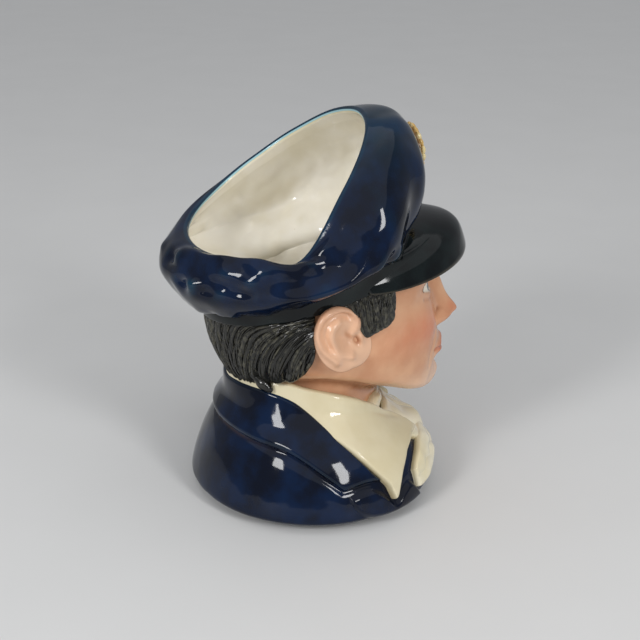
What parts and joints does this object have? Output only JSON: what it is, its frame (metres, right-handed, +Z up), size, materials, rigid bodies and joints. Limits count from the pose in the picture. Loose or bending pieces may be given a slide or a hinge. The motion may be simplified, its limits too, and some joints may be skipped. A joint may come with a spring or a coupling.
{
  "type": "character jug",
  "caption": "Glazed earthenware character jug: a seaman's head and shoulders in a peaked cap whose open crown is the mouth, with a side loop handle.",
  "frame": {"origin": "centre of the foot ring on the table, on the jug's axis", "axes": "+Z up along the jug's axis, the face looks along -Y, +X is the figure's left, where the handle is"},
  "size_m": [0.1563, 0.1399, 0.1742],
  "materials": {
    "cream_glaze": "glossy cream glaze",
    "bare_clay": "bare fired clay",
    "navy_glaze": "glossy navy glaze",
    "shirt_glaze": "glossy cream glaze",
    "scarf_glaze": "glossy white glaze",
    "flesh_glaze": "glossy flesh glaze",
    "hair_glaze": "dry-brushed dark glaze",
    "black_glaze": "glossy green-black glaze",
    "badge_glaze": "glossy cream and brown glaze"
  },
  "bodies": {
    "root": {"cast_vessel": "cream_glaze", "foot_rim": "bare_clay", "jacket_shoulders": "navy_glaze", "jacket_collar": "navy_glaze", "right_lapel": "navy_glaze", "left_lapel": "navy_glaze", "shirt_collar": "shirt_glaze", "cravat": "scarf_glaze", "head": "flesh_glaze", "right_ear": "flesh_glaze", "left_ear": "flesh_glaze", "hair": "hair_glaze", "right_sideburn": "hair_glaze", "left_sideburn": "hair_glaze", "cap_band": "black_glaze", "cap_peak": "black_glaze", "cap_strap": "black_glaze", "cap_crown": "navy_glaze", "cap_badge": "badge_glaze", "handle": "navy_glaze"}
  },
  "joints": []
}
